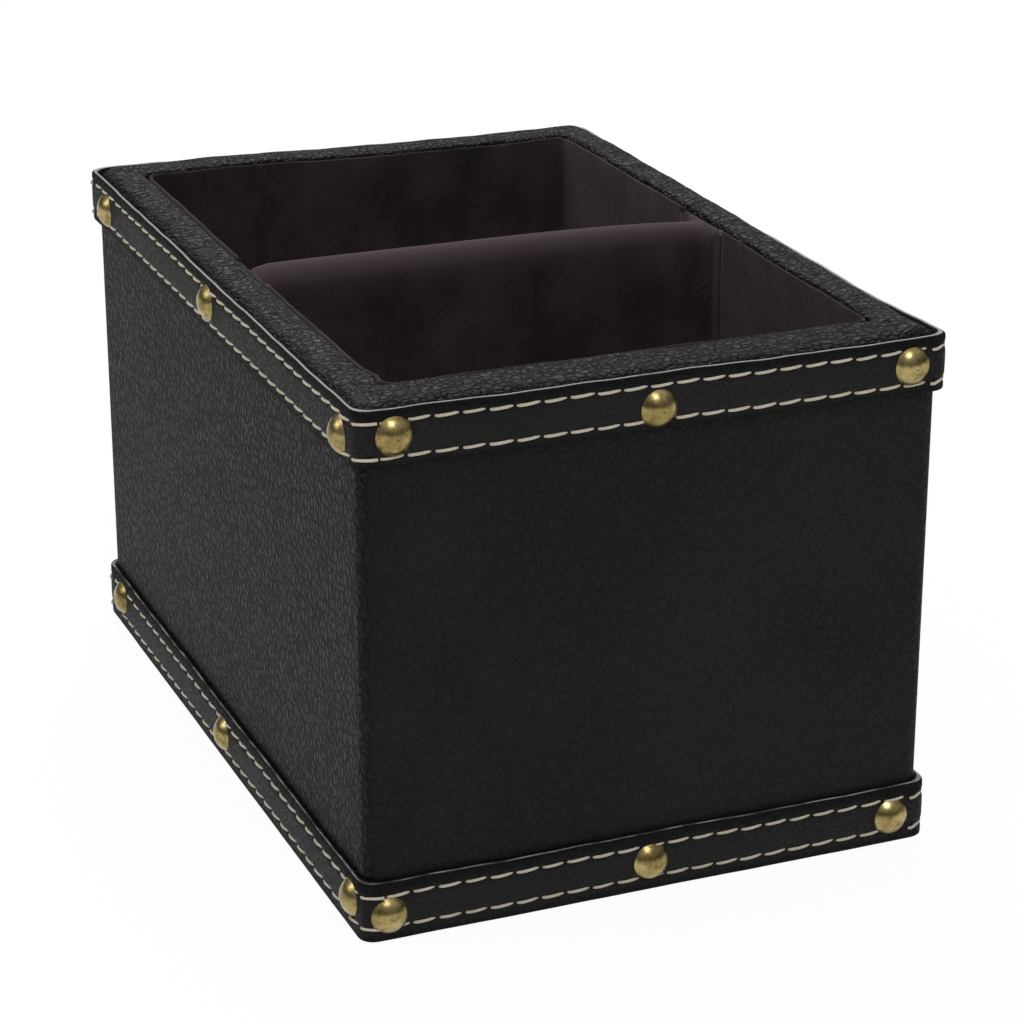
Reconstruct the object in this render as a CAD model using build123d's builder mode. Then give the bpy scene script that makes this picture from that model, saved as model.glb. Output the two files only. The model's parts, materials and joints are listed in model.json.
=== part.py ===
import os
from math import atan2, cos, degrees, sin, sqrt

from build123d import *

os.makedirs("parts", exist_ok=True)

# A lined two-bay box for remote controls. Millimetres, +X right, front at -Y, +Z up,
# origin on the table under the middle of the box.

# Overall size, over the straps
box_width = 150.0
box_depth = 220.0
box_height = 133.0

# Boards
side_wall_thick = 9.5
end_wall_thick = 12.0   # front and back boards
base_thick = 5.0
divider_thick = 6.0
corner_lap = 4.5        # how far a side board runs into the rabbet of a front or back board
base_rabbet = 4.5       # how far the base board runs under the walls
dado_depth = 3.0        # how far the divider board runs into each side board
board_fit = 0.05        # gap at each glued board joint

# Leather cloth skin
skin_thick = 0.9
corner_round = 4.0      # upright corners, outside of the skin
rim_round = 2.5         # edges of the rim, outside of the skin
fold_round = 1.5        # gathered fold in the inner corners of the rim
turn_down = 7.0         # skin turned down inside the rim
turn_under = 12.0       # skin turned in under the walls

# Edge straps
strap_thick = 1.6
top_strap_high = 13.8
bottom_strap_high = 15.2
top_strap_drop = 0.4    # upper edge of the top strap below the rim
bottom_strap_lift = 0.4
strap_edge_round = 0.5
strap_seam = 0.4        # butt joint of each strap, in the middle of the back

# Velvet lining on card
lining_thick = 1.8
lining_drop = 1.2       # top edge of the lining below the rim
bay_corner_round = 5.0
flap_length = 9.0       # flap of the divider cover glued to the side wall
crest_drop = 1.2        # crest of the covered divider below the rim
lining_seam = 0.2
floor_thick = 2.0
floor_fit = 0.3
floor_edge_round = 0.6

# Felt under the base
felt_thick = 0.9
felt_inset = 2.0
felt_step_fit = 0.3

# Domed upholstery tacks
head_radius = 4.75
head_high = 2.6
head_metal = 0.5
shank_wide = 1.5        # square
shank_long = 8.0        # below the face of the strap
point_long = 1.6
front_tack_inset = 9.0  # middle of an end tack from the corner of the strap
side_tack_inset = 12.0
top_tack_drop = 6.9     # middle of a tack below the top strap's upper edge
bottom_tack_lift = 7.5  # middle of a tack above the bottom strap's lower edge

# Where each tack went by hand, off its even place: (along the face, up), left to right
tack_drift = {
    "front_top": ((0.5, 0.6), (-0.8, -1.5), (-1.0, 0.3)),
    "front_bottom": ((-2.2, -0.9), (-0.8, 0.0), (-1.0, -0.4)),
    "left_top": ((5.5, 0.5), (0.8, 1.0), (1.8, -0.9)),
    "left_bottom": ((3.1, 1.6), (1.8, 0.4), (3.4, 1.2)),
    "back_top": ((0.6, -0.3), (0.0, 0.2), (-0.8, 0.3)),
    "back_bottom": ((-0.7, 0.3), (0.0, -0.4), (0.9, 0.2)),
    "right_top": ((-1.2, 0.3), (0.8, -0.6), (0.5, 0.2)),
    "right_bottom": ((0.9, -0.3), (-1.4, 0.4), (-0.6, 0.5)),
}

# Worked out from the sizes above
skin_width = box_width - 2 * strap_thick
skin_depth = box_depth - 2 * strap_thick
core_width = skin_width - 2 * skin_thick
core_depth = skin_depth - 2 * skin_thick
inner_width = core_width - 2 * side_wall_thick
inner_depth = core_depth - 2 * end_wall_thick
mouth_width = inner_width - 2 * skin_thick
mouth_depth = inner_depth - 2 * skin_thick
clear_width = inner_width - 2 * lining_thick
clear_depth = inner_depth - 2 * lining_thick
side_board_length = core_depth - 2 * (end_wall_thick - corner_lap)

skin_bottom = felt_thick
board_bottom = skin_bottom + skin_thick
base_top = board_bottom + base_thick
board_top = box_height - skin_thick
turn_edge = box_height - turn_down
lining_top = box_height - lining_drop
crest_top = box_height - crest_drop
crest_radius = divider_thick / 2 + lining_thick
flap_end = crest_radius + flap_length
flare_reach = lining_thick + bay_corner_round
bay_clear_depth = clear_depth / 2 - crest_radius

from_below = (Align.CENTER, Align.CENTER, Align.MIN)


def finish(builder, name):
    builder.part.label = name
    export_step(builder.part, f"parts/{name}.step")


# One tack: a pressed dome on a square pointed shank, head outwards along +Z
dome_radius = (head_radius**2 + head_high**2) / (2 * head_high)
dome_centre = head_high - dome_radius
hollow_radius = dome_radius - head_metal
hollow_foot = sqrt(hollow_radius**2 - dome_centre**2)
hollow_top = head_high - head_metal


def on_circle(radius, angle):
    return (radius * sin(angle), dome_centre + radius * cos(angle))


dome_half_angle = atan2(head_radius, -dome_centre) / 2
hollow_half_angle = atan2(hollow_foot, -dome_centre) / 2
point_taper = degrees(atan2(0.45 * shank_wide, point_long))

with BuildPart() as tack:
    with BuildSketch(Plane.XZ):
        with BuildLine():
            ThreePointArc((0, head_high), on_circle(dome_radius, dome_half_angle), (head_radius, 0))
            Line((head_radius, 0), (hollow_foot, 0))
            ThreePointArc((hollow_foot, 0), on_circle(hollow_radius, hollow_half_angle), (0, hollow_top))
            Line((0, hollow_top), (0, head_high))
        make_face()
    revolve(axis=Axis.Z)
    with BuildSketch(Plane.XY.offset(hollow_top + head_metal / 2)):
        Rectangle(shank_wide, shank_wide)
    extrude(amount=-(hollow_top + head_metal / 2 + shank_long - point_long))
    extrude(tack.faces().sort_by(Axis.Z)[0], amount=point_long, taper=point_taper)

# The four faces: outward normal, direction along the face, distance out, half length
faces = {
    "front": ((0, -1, 0), (1, 0, 0), box_depth / 2, box_width / 2 - front_tack_inset),
    "left": ((-1, 0, 0), (0, -1, 0), box_width / 2, box_depth / 2 - side_tack_inset),
    "back": ((0, 1, 0), (-1, 0, 0), box_depth / 2, box_width / 2 - front_tack_inset),
    "right": ((1, 0, 0), (0, 1, 0), box_width / 2, box_depth / 2 - side_tack_inset),
}
tack_level = {
    "top": box_height - top_strap_drop - top_tack_drop,
    "bottom": bottom_strap_lift + bottom_tack_lift,
}

# Three tacks in each face of each strap
tack_rows = {}
for face, (normal, along, distance, reach) in faces.items():
    for strap_name, level in tack_level.items():
        face_plane = Plane(origin=Vector(*normal) * distance, x_dir=along, z_dir=normal)
        row = [
            face_plane * Location((step * reach + off_along, level + off_up, 0))
            for step, (off_along, off_up) in zip((-1, 0, 1), tack_drift[f"{face}_{strap_name}"])
        ]
        with BuildPart() as tacks:
            with Locations(*row):
                add(tack.part)
        finish(tacks, f"{face}_{strap_name}_tacks")
        tack_rows[f"{face}_{strap_name}"] = tacks.part


def pierce(*rows):
    for row in rows:
        add(tack_rows[row], mode=Mode.SUBTRACT)


# All four walls as one ring, with the rim rounded inside and out
with BuildPart() as wall_ring:
    with BuildSketch(Plane.XY.offset(board_bottom)):
        RectangleRounded(core_width, core_depth, corner_round - skin_thick)
        Rectangle(inner_width, inner_depth, mode=Mode.SUBTRACT)
    extrude(amount=board_top - board_bottom)
    fillet(wall_ring.faces().sort_by(Axis.Z)[-1].edges(), radius=rim_round - skin_thick)

# The ring with the rabbet for the base board and the stopped dados for the divider
with BuildPart() as worked_ring:
    add(wall_ring.part)
    with Locations((0, 0, board_bottom)):
        Box(inner_width + 2 * base_rabbet, inner_depth + 2 * base_rabbet, base_thick,
            align=from_below, mode=Mode.SUBTRACT)
        Box(inner_width + 2 * dado_depth, divider_thick + 2 * board_fit, turn_edge - board_bottom,
            align=from_below, mode=Mode.SUBTRACT)

# Side boards, between the front and back boards
for side, name in ((-1, "left"), (1, "right")):
    with BuildPart() as side_board:
        add(worked_ring.part)
        with Locations((side * (core_width - side_wall_thick) / 2, 0, 0)):
            Box(side_wall_thick, side_board_length, box_height, align=from_below, mode=Mode.INTERSECT)
        pierce(*tack_rows)
    finish(side_board, f"{name}_board")

# Front and back boards, rabbeted over the ends of the side boards
for side, name in ((-1, "front"), (1, "back")):
    with BuildPart() as end_board:
        add(worked_ring.part)
        with Locations((0, side * (core_depth - end_wall_thick) / 2, 0)):
            Box(core_width, end_wall_thick, box_height, align=from_below, mode=Mode.INTERSECT)
        with GridLocations(core_width - side_wall_thick, 0, 2, 1):
            Box(side_wall_thick, side_board_length, box_height, align=from_below, mode=Mode.SUBTRACT)
        pierce(*tack_rows)
    finish(end_board, f"{name}_board")

with BuildPart() as base_board:
    with Locations((0, 0, board_bottom)):
        Box(inner_width + 2 * (base_rabbet - board_fit), inner_depth + 2 * (base_rabbet - board_fit),
            base_thick, align=from_below)
    pierce(*(row for row in tack_rows if row.endswith("bottom")))
finish(base_board, "base_board")


# Upright section of the divider, rounded on top, standing on the base board
def divider_outline(thick, top):
    with Locations((0, base_top)):
        Rectangle(thick, top - thick / 2 - base_top, align=(Align.CENTER, Align.MIN))
    with Locations((0, top - thick / 2)):
        Circle(thick / 2)


# The divider board stands in the dados; its upper corners clear the skin turned down inside the rim
with BuildPart() as divider_board:
    with BuildSketch(Plane.YZ):
        divider_outline(divider_thick, crest_top - lining_thick)
    extrude(amount=inner_width / 2 + dado_depth - board_fit, both=True)
    with Locations((0, 0, turn_edge)):
        with GridLocations(mouth_width + box_width, 0, 2, 1):
            Box(box_width, divider_thick, turn_down, align=from_below, mode=Mode.SUBTRACT)
finish(divider_board, "divider_board")

# Leather cloth skin: turned under, up the outside, over the rim and down inside it
with BuildPart() as outer_wrap:
    with BuildSketch(Plane.XY.offset(skin_bottom)):
        RectangleRounded(skin_width, skin_depth, corner_round)
        RectangleRounded(mouth_width, mouth_depth, fold_round, mode=Mode.SUBTRACT)
    extrude(amount=box_height - skin_bottom)
    fillet(outer_wrap.faces().sort_by(Axis.Z)[-1].edges(), radius=rim_round)
    fillet(outer_wrap.faces().sort_by(Axis.Z)[0].outer_wire().edges(), radius=skin_thick)
    add(wall_ring.part, mode=Mode.SUBTRACT)
    with Locations((0, 0, skin_bottom)):
        Box(skin_width - 2 * turn_under, skin_depth - 2 * turn_under, skin_thick,
            align=from_below, mode=Mode.SUBTRACT)
    with Locations((0, 0, board_bottom)):
        Box(inner_width, inner_depth, turn_edge - board_bottom, align=from_below, mode=Mode.SUBTRACT)
    pierce(*tack_rows)
finish(outer_wrap, "outer_wrap")

# Room taken by the skin turned down inside the rim
with BuildPart() as turned_skin:
    with BuildSketch(Plane.XY.offset(turn_edge)):
        Rectangle(inner_width, inner_depth)
        RectangleRounded(mouth_width, mouth_depth, fold_round, mode=Mode.SUBTRACT)
    extrude(amount=turn_down)

# Straps round the top and bottom edges, butted in the middle of the back
strap_place = {
    "top": (box_height - top_strap_drop - top_strap_high, top_strap_high),
    "bottom": (bottom_strap_lift, bottom_strap_high),
}
for strap_name, (low, high) in strap_place.items():
    with BuildPart() as strap:
        with BuildSketch(Plane.XY.offset(low)):
            RectangleRounded(box_width, box_depth, corner_round + strap_thick)
        extrude(amount=high)
        fillet(strap.faces().filter_by(Axis.Z).edges(), radius=strap_edge_round)
        with BuildSketch(Plane.XY.offset(low)):
            RectangleRounded(skin_width, skin_depth, corner_round)
        extrude(amount=high, mode=Mode.SUBTRACT)
        with Locations((0, box_depth / 2, low)):
            Box(strap_seam, box_depth / 2, high, align=from_below, mode=Mode.SUBTRACT)
        pierce(*(row for row in tack_rows if row.endswith(strap_name)))
    finish(strap, f"{strap_name}_band")

# Velvet lining of each bay, on the three outer walls, with rounded corners
bay_run = inner_depth / 2 - flap_end - lining_seam
for side, name in ((-1, "front"), (1, "rear")):
    with BuildPart() as lining:
        with BuildSketch(Plane.XY.offset(base_top)):
            with Locations((0, side * (inner_depth - bay_run) / 2)):
                Rectangle(inner_width, bay_run)
            RectangleRounded(clear_width, clear_depth, bay_corner_round, mode=Mode.SUBTRACT)
        extrude(amount=lining_top - base_top)
        add(turned_skin.part, mode=Mode.SUBTRACT)
    finish(lining, f"{name}_bay_lining")

# Velvet cover of the divider: over the crest, down both faces, and on to the side walls by four flaps
with BuildPart() as divider_cover:
    with BuildSketch(Plane.YZ):
        divider_outline(2 * crest_radius, crest_top)
    extrude(amount=inner_width / 2, both=True)
    with BuildSketch(Plane.XY.offset(base_top)) as flaps:
        Rectangle(inner_width, 2 * crest_radius)
        with GridLocations(inner_width - lining_thick, 0, 2, 1):
            Rectangle(lining_thick, 2 * flap_end)
        inner_corners = [corner for corner in flaps.vertices() if abs(corner.X) < inner_width / 2
                         and abs(corner.Y) < flap_end]
        fillet(inner_corners, radius=bay_corner_round)
        Rectangle(inner_width - 2 * flare_reach, 2 * flap_end, mode=Mode.SUBTRACT)
    extrude(amount=lining_top - base_top)
    with BuildSketch(Plane.YZ):
        divider_outline(divider_thick, crest_top - lining_thick)
    extrude(amount=inner_width / 2, both=True, mode=Mode.SUBTRACT)
    add(turned_skin.part, mode=Mode.SUBTRACT)
finish(divider_cover, "divider_cover")

# Velvet-covered card in the bottom of each bay
floor_round = bay_corner_round - floor_fit
for side, name in ((-1, "front"), (1, "rear")):
    with BuildPart() as bay_floor:
        with BuildSketch(Plane.XY.offset(base_top)):
            with Locations((0, side * (crest_radius + bay_clear_depth / 2))):
                RectangleRounded(clear_width - 2 * floor_fit, bay_clear_depth - 2 * floor_fit, floor_round)
        extrude(amount=floor_thick)
        fillet(bay_floor.faces().sort_by(Axis.Z)[-1].edges(), radius=floor_edge_round)
    finish(bay_floor, f"{name}_bay_floor")

# Felt under the base, thicker inside the turned-in skin so that it lies on the base board
with BuildPart() as base_felt:
    with BuildSketch():
        RectangleRounded(skin_width - 2 * felt_inset, skin_depth - 2 * felt_inset, corner_round)
    extrude(amount=felt_thick)
    with Locations((0, 0, felt_thick)):
        Box(skin_width - 2 * (turn_under + felt_step_fit), skin_depth - 2 * (turn_under + felt_step_fit),
            skin_thick, align=from_below)
finish(base_felt, "base_felt")
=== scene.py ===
import json
import math
import bmesh
import bpy
import numpy as np
from mathutils import Matrix, Vector


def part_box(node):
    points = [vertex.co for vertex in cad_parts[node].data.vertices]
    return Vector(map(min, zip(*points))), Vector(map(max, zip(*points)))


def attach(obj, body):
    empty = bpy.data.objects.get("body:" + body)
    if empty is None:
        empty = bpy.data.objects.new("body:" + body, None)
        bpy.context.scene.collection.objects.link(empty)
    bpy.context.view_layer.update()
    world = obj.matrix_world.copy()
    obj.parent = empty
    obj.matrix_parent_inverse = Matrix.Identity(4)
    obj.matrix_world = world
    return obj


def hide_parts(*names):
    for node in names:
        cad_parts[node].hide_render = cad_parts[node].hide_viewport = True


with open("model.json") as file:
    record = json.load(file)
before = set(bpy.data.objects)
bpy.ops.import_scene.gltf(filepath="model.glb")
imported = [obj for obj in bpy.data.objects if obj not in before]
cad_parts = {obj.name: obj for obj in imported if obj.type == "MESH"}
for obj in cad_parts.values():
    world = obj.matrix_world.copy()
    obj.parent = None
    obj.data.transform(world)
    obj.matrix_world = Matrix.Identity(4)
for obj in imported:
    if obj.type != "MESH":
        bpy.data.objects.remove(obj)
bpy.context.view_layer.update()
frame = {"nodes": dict(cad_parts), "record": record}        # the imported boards, skins, straps, linings and tacks
nodes = frame["nodes"]
mm = 0.001
print("stage: frame loaded,", len(nodes), "nodes")


class Sock:        # a shader socket that does maths
    def __init__(self, tree, socket):
        self.tree, self.socket = tree, socket

    def maths(self, operation, first, second):
        node = self.tree.nodes.new("ShaderNodeMath")
        node.operation = operation
        for slot, value in zip(node.inputs, (first, second)):
            if isinstance(value, Sock):
                self.tree.links.new(value.socket, slot)
            else:
                slot.default_value = value
        return Sock(self.tree, node.outputs[0])

    def __add__(self, other):
        return self.maths("ADD", self, other)

    def __sub__(self, other):
        return self.maths("SUBTRACT", self, other)

    def __mul__(self, other):
        return self.maths("MULTIPLY", self, other)

    def __truediv__(self, other):
        return self.maths("DIVIDE", self, other)

    def __rsub__(self, other):
        return self.maths("SUBTRACT", other, self)

    def __rtruediv__(self, other):
        return self.maths("DIVIDE", other, self)

    def __pow__(self, other):
        return self.maths("POWER", self, other)

    __radd__ = __add__
    __rmul__ = __mul__


class Finish:        # a material, built node by node
    def __init__(self, name):
        self.material = bpy.data.materials.new(name)
        self.material.use_nodes = True
        self.tree = self.material.node_tree
        self.tree.nodes.clear()
        self.place = self.node("ShaderNodeTexCoord", out="Object")

    def node(self, kind, settings=None, values=None, out=0):
        made = self.tree.nodes.new(kind)
        for key, value in (settings or {}).items():
            setattr(made, key, value)
        for key, value in (values or {}).items():
            if isinstance(value, Sock):
                self.tree.links.new(value.socket, made.inputs[key])
            else:
                made.inputs[key].default_value = value
        return Sock(self.tree, made.outputs[out])

    def outputs(self, kind, values=None):        # every output of a new node, by name
        made = self.node(kind, None, values).socket.node
        return {out.name: Sock(self.tree, out) for out in made.outputs}

    def moved(self, vector, offset=(0, 0, 0), scale=(1, 1, 1)):
        return self.node("ShaderNodeMapping", None, {"Vector": vector, "Location": offset, "Scale": scale})

    def noise(self, vector, scale, detail=3.0, rough=0.5, out="Fac"):
        values = {"Vector": vector, "Scale": scale, "Detail": detail, "Roughness": rough}
        return self.node("ShaderNodeTexNoise", None, values, out)

    def warped(self, vector, scale, amount):        # vector pushed about by a noise, amount in its own units
        push = self.node("ShaderNodeVectorMath", {"operation": "SUBTRACT"},
                         {0: self.noise(vector, scale, 2.0, 0.5, "Color"), 1: (0.5, 0.5, 0.5)})
        far = self.node("ShaderNodeVectorMath", {"operation": "SCALE"}, {0: push, "Scale": amount})
        return self.node("ShaderNodeVectorMath", {"operation": "ADD"}, {0: vector, 1: far})

    def cells(self, vector, scale):        # distance from the edges of a pattern of cells
        values = {"Vector": vector, "Scale": scale}
        return self.node("ShaderNodeTexVoronoi", {"feature": "DISTANCE_TO_EDGE"}, values, "Distance")

    def span(self, value, low, high, toLow=0.0, toHigh=1.0):
        values = {"Value": value, "From Min": low, "From Max": high, "To Min": toLow, "To Max": toHigh}
        return self.node("ShaderNodeMapRange", {"interpolation_type": "SMOOTHSTEP"}, values, "Result")

    def mix(self, share, first, second):
        first, second = ((*c, 1) if isinstance(c, tuple) else c for c in (first, second))
        return self.node("ShaderNodeMix", {"data_type": "RGBA"}, {0: share, 6: first, 7: second}, 2)

    def bump(self, height, distance):
        values = {"Height": height, "Distance": distance, "Strength": 1.0}
        return self.node("ShaderNodeBump", None, values, "Normal")

    def attribute(self, name):
        return self.node("ShaderNodeAttribute", {"attribute_name": name}, None, "Fac")

    def sine(self, phase):
        return self.node("ShaderNodeMath", {"operation": "SINE"}, {0: phase})

    def done(self, **values):
        values = {name.replace("_", " "): value for name, value in values.items()}
        self.close(self.node("ShaderNodeBsdfPrincipled", None, values))
        return self.material

    def close(self, shader):
        out = self.tree.nodes.new("ShaderNodeOutputMaterial")
        self.tree.links.new(shader.socket, out.inputs["Surface"])


# Leather cloth of the skin and the straps
leatherLook = {
    "skin": {"tint": (0.0054, 0.0054, 0.0059), "pebble": 2.0, "depth": 0.55, "rough": 0.54, "level": 0.15,
             "valley": 0.4, "tall": 0.75, "paintedRimLight": 15.0},
    "strap": {"tint": (0.0078, 0.0066, 0.0064), "pebble": 1.5, "depth": 0.07, "rough": 0.53, "level": 0.17,
              "valley": 0.93, "tall": 1.0, "paintedEdgeShade": 0.3},
}        # pebble and depth in mm; valley colour (painted shade in the grain's hollows), rim colour (painted light on the rim's top) and edge colour (painted shade along the strap's edges) as shares of the tint


def leatherFinish(name, look):
    f = Finish(name)
    size = 1 / (look["pebble"] * mm)
    bent = f.warped(f.moved(f.place, scale=(size, size, size * look["tall"])), 0.6, 0.9)
    pebble = f.span(f.cells(bent, 1.0), 0.01, 0.24)
    creases = f.span(f.cells(f.moved(bent, scale=(0.23, 0.23, 0.23)), 1.0), 0.0, 0.05)
    fine = f.noise(bent, 3.2, 3.0, 0.6)
    swell = f.noise(bent, 0.35, 2.0)
    height = pebble * (0.45 + 0.55 * swell) * (0.7 + 0.3 * creases) + 0.22 * fine
    patchy = f.noise(f.place, 22.0, 3.0)
    tint = look["tint"]
    # colour of the painted shade in the grain's hollows
    deep = tuple(c * look["valley"] for c in tint)
    worn = tuple(c * 1.5 for c in tint)
    colour = f.mix(f.span(patchy, 0.35, 0.7), tint, worn)
    rough = look["rough"] + 0.16 * (1 - pebble) + 0.12 * (fine - 0.5)
    grain = f.attribute("grainDeep")        # depth of the grain here; on the skin, over 1 means the rim
    height = height * grain
    if "paintedEdgeShade" in look:        # strap: painted shade along its edges, darker where its shoulders turn from the light
        paintedEdgeShade = f.attribute("edgeShade")
        # painted shade in the hollows of the grain
        colour = f.mix(pebble, deep, colour)
        colour = f.mix(paintedEdgeShade, colour, tuple(c * look["paintedEdgeShade"] for c in tint))
        rough = rough + 0.2 * paintedEdgeShade
    else:        # skin: drawn into streaks, painted paler in flecks on the rim as painted light on its top, and smoothest on the front and back
        drawn = f.noise(f.moved(f.place, scale=(0.2 / mm, 0.75 / mm, 0.75 / mm)), 1.0, 3.0, 0.6)
        # painted light: the rim's top painted paler in flecks along the streaks
        paintedRimLight = f.span(grain, 1.0, 3.3) * f.span(0.25 * fine + 0.75 * drawn, 0.42, 0.60, 0.1)
        height = height + 1.5 * drawn * f.span(grain, 1.0, 3.0)
        colour = f.mix(paintedRimLight, colour, tuple(c * look["paintedRimLight"] for c in tint))
        rough = rough - 0.12 * paintedRimLight
        # painted shade in the hollows of the grain, less on the rim
        valleys = (1 - pebble) * f.span(grain, 0.3, 0.9) * f.span(grain, 1.0, 3.0, 1.0, 0.6)
        colour = f.mix(valleys, colour, deep)
    return f.done(Base_Color=colour, Roughness=rough, Specular_IOR_Level=look["level"],
                  Normal=f.bump(height, look["depth"] * mm))


rawEdgeLook = {"backing": (0.31, 0.303, 0.295), "stain": (0.05, 0.045, 0.045), "fibre": 0.5,
               "stainedFrom": {"top": 0.74, "bottom": 0.5}}        # the lower, the more is stained


def rawEdgeFinish(name, look, edge):
    f = Finish(name)
    fibres = f.noise(f.moved(f.place, scale=(1 / mm, 1 / mm, 3 / mm)), 1 / look["fibre"], 4.0, 0.7)
    runs = f.noise(f.place, 120.0, 3.0, 0.6)
    stained = look["stainedFrom"][edge]
    share = f.span(runs + 0.35 * fibres, stained, stained + 0.3)
    colour = f.mix(share, look["backing"], look["stain"])
    return f.done(Base_Color=colour, Roughness=0.9, Specular_IOR_Level=0.1,
                  Normal=f.bump(fibres, 0.12 * mm))


velvetLook = {
    "divider": {"pile": (0.0175, 0.0125, 0.015), "brushed": (0.050, 0.034, 0.043), "rib": 1.1,
                "ribHigh": 0.42, "sheen": 0.32, "sheenTint": (0.66, 0.5, 0.6, 1),
                # crest: colour of the painted sheen along the top of the divider
                "crest": (0.047, 0.034, 0.041), "crestUp": (125 * mm, 134 * mm),
                "crestOut": (50 * mm ** 2, 80 * mm ** 2)},        # out from the middle, squared
    "lining": {"pile": (0.0165, 0.0128, 0.0158), "brushed": (0.042, 0.031, 0.039), "rib": 1.1,
               "ribHigh": 0.3, "sheen": 0.3, "sheenTint": (0.62, 0.5, 0.6, 1)},
}


def velvetFinish(name, look):
    f = Finish(name)
    x, y, z = f.outputs("ShaderNodeSeparateXYZ", {0: f.place}).values()
    wobble = f.noise(f.place, 160.0, 2.0)
    phase = ((x + y) * 0.87 - z * 0.5) / (look["rib"] * mm) + wobble * 0.8
    rib = f.sine(phase * math.tau)
    tufts = f.noise(f.place, 1400.0, 3.0, 0.7)
    lay = f.noise(f.place, 42.0, 3.0, 0.55)
    smear = f.noise(f.moved(f.place, scale=(1, 1, 0.35)), 110.0, 2.0, 0.6)
    share = f.span(lay * 0.6 + smear * 0.3 + tufts * 0.25, 0.42, 0.78)
    colour = f.mix(share, look["pile"], look["brushed"])
    if "crest" in look:        # painted sheen: palest along the crest, where light grazes the pile
        crest = f.span(z, *look["crestUp"]) * f.span(y * y, *look["crestOut"], 1.0, 0.0)
        colour = f.mix(crest, colour, look["crest"])
    height = look["ribHigh"] * rib * f.span(lay, 0.35, 0.65, 0.3, 1.0) + 0.9 * tufts
    return f.done(Base_Color=colour, Roughness=0.92, Specular_IOR_Level=0.08, Sheen_Weight=look["sheen"],
                  Sheen_Roughness=0.4, Sheen_Tint=look["sheenTint"], Normal=f.bump(height, 0.16 * mm))


# valley: colour of the painted shade between the plies, and of the soiling
threadLook = {"cord": (0.72, 0.67, 0.55), "valley": (0.44, 0.39, 0.29), "turn": 0.75}


def threadFinish(name, look):
    f = Finish(name)
    phase = (f.attribute("threadAlong") / (look["turn"] * mm) + f.attribute("threadAround")) * math.tau * 2
    ply = f.sine(phase) * 0.5 + 0.5
    fuzz = f.noise(f.place, 3500.0, 2.0, 0.6)
    soil = f.noise(f.place, 70.0, 2.0)
    share = f.span(ply * 0.75 + fuzz * 0.35, 0.1, 0.75)
    # painted shade in the grooves between the plies
    colour = f.mix(share, look["valley"], look["cord"])
    colour = f.mix(f.span(soil, 0.45, 0.75, 0.0, 0.3), colour, look["valley"])
    return f.done(Base_Color=colour, Roughness=0.75, Specular_IOR_Level=0.25,
                  Normal=f.bump(ply + 0.25 * fuzz, 0.12 * mm))


tackLook = {"bright": (0.43, 0.343, 0.15), "olive": (0.28, 0.218, 0.078), "patina": (0.08, 0.05, 0.02)}


def tackFinish(name, look):
    f = Finish(name)
    blotch = f.noise(f.place, 420.0, 4.0, 0.6)
    cloud = f.noise(f.moved(f.place, offset=(0.3, 0.1, 0.2)), 210.0, 3.0, 0.55)
    specks = f.noise(f.place, 2600.0, 3.0, 0.7)
    colour = f.mix(f.span(cloud, 0.38, 0.62), look["olive"], look["bright"])
    worn = f.span(blotch + 0.2 * specks, 0.52, 0.78)
    colour = f.mix(worn * 0.6, colour, look["patina"])
    rough = 0.13 + 0.16 * blotch + 0.1 * specks
    return f.done(Base_Color=colour, Metallic=1.0, Roughness=rough,
                  Normal=f.bump(specks + 0.6 * blotch, 0.02 * mm))


boardLook = {"pale": (0.40, 0.29, 0.18), "dark": (0.25, 0.17, 0.1)}


def boardFinish(name, look):
    f = Finish(name)
    chips = f.noise(f.moved(f.place, scale=(1, 1, 2.5)), 900.0, 4.0, 0.7)
    clouds = f.noise(f.place, 30.0, 2.0)
    colour = f.mix(f.span(chips + 0.3 * clouds, 0.4, 0.9), look["pale"], look["dark"])
    return f.done(Base_Color=colour, Roughness=0.85, Normal=f.bump(chips, 0.08 * mm))


feltLook = {"dark": (0.012, 0.012, 0.013), "pale": (0.035, 0.035, 0.037)}


def feltFinish(name, look):
    f = Finish(name)
    strands = f.noise(f.warped(f.place, 300.0, 0.004), 1500.0, 4.0, 0.75)
    clouds = f.noise(f.place, 60.0, 3.0)
    colour = f.mix(f.span(strands * 0.7 + clouds * 0.4, 0.4, 0.75), look["dark"], look["pale"])
    return f.done(Base_Color=colour, Roughness=0.95, Specular_IOR_Level=0.1, Sheen_Weight=0.2,
                  Normal=f.bump(strands, 0.2 * mm))


finishes = {
    "skin": leatherFinish("skinLeather", leatherLook["skin"]),
    "strap": leatherFinish("strapLeather", leatherLook["strap"]),
    "topEdge": rawEdgeFinish("topRawEdge", rawEdgeLook, "top"),
    "bottomEdge": rawEdgeFinish("bottomRawEdge", rawEdgeLook, "bottom"),
    "velvet": velvetFinish("liningVelvet", velvetLook["lining"]),
    "dividerVelvet": velvetFinish("dividerVelvet", velvetLook["divider"]),
    "thread": threadFinish("creamThread", threadLook),
    "tack": tackFinish("antiqueBrass", tackLook),
    "board": boardFinish("rawFibreboard", boardLook),
    "felt": feltFinish("pressedFelt", feltLook),
}
print("stage: finishes made")


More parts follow.
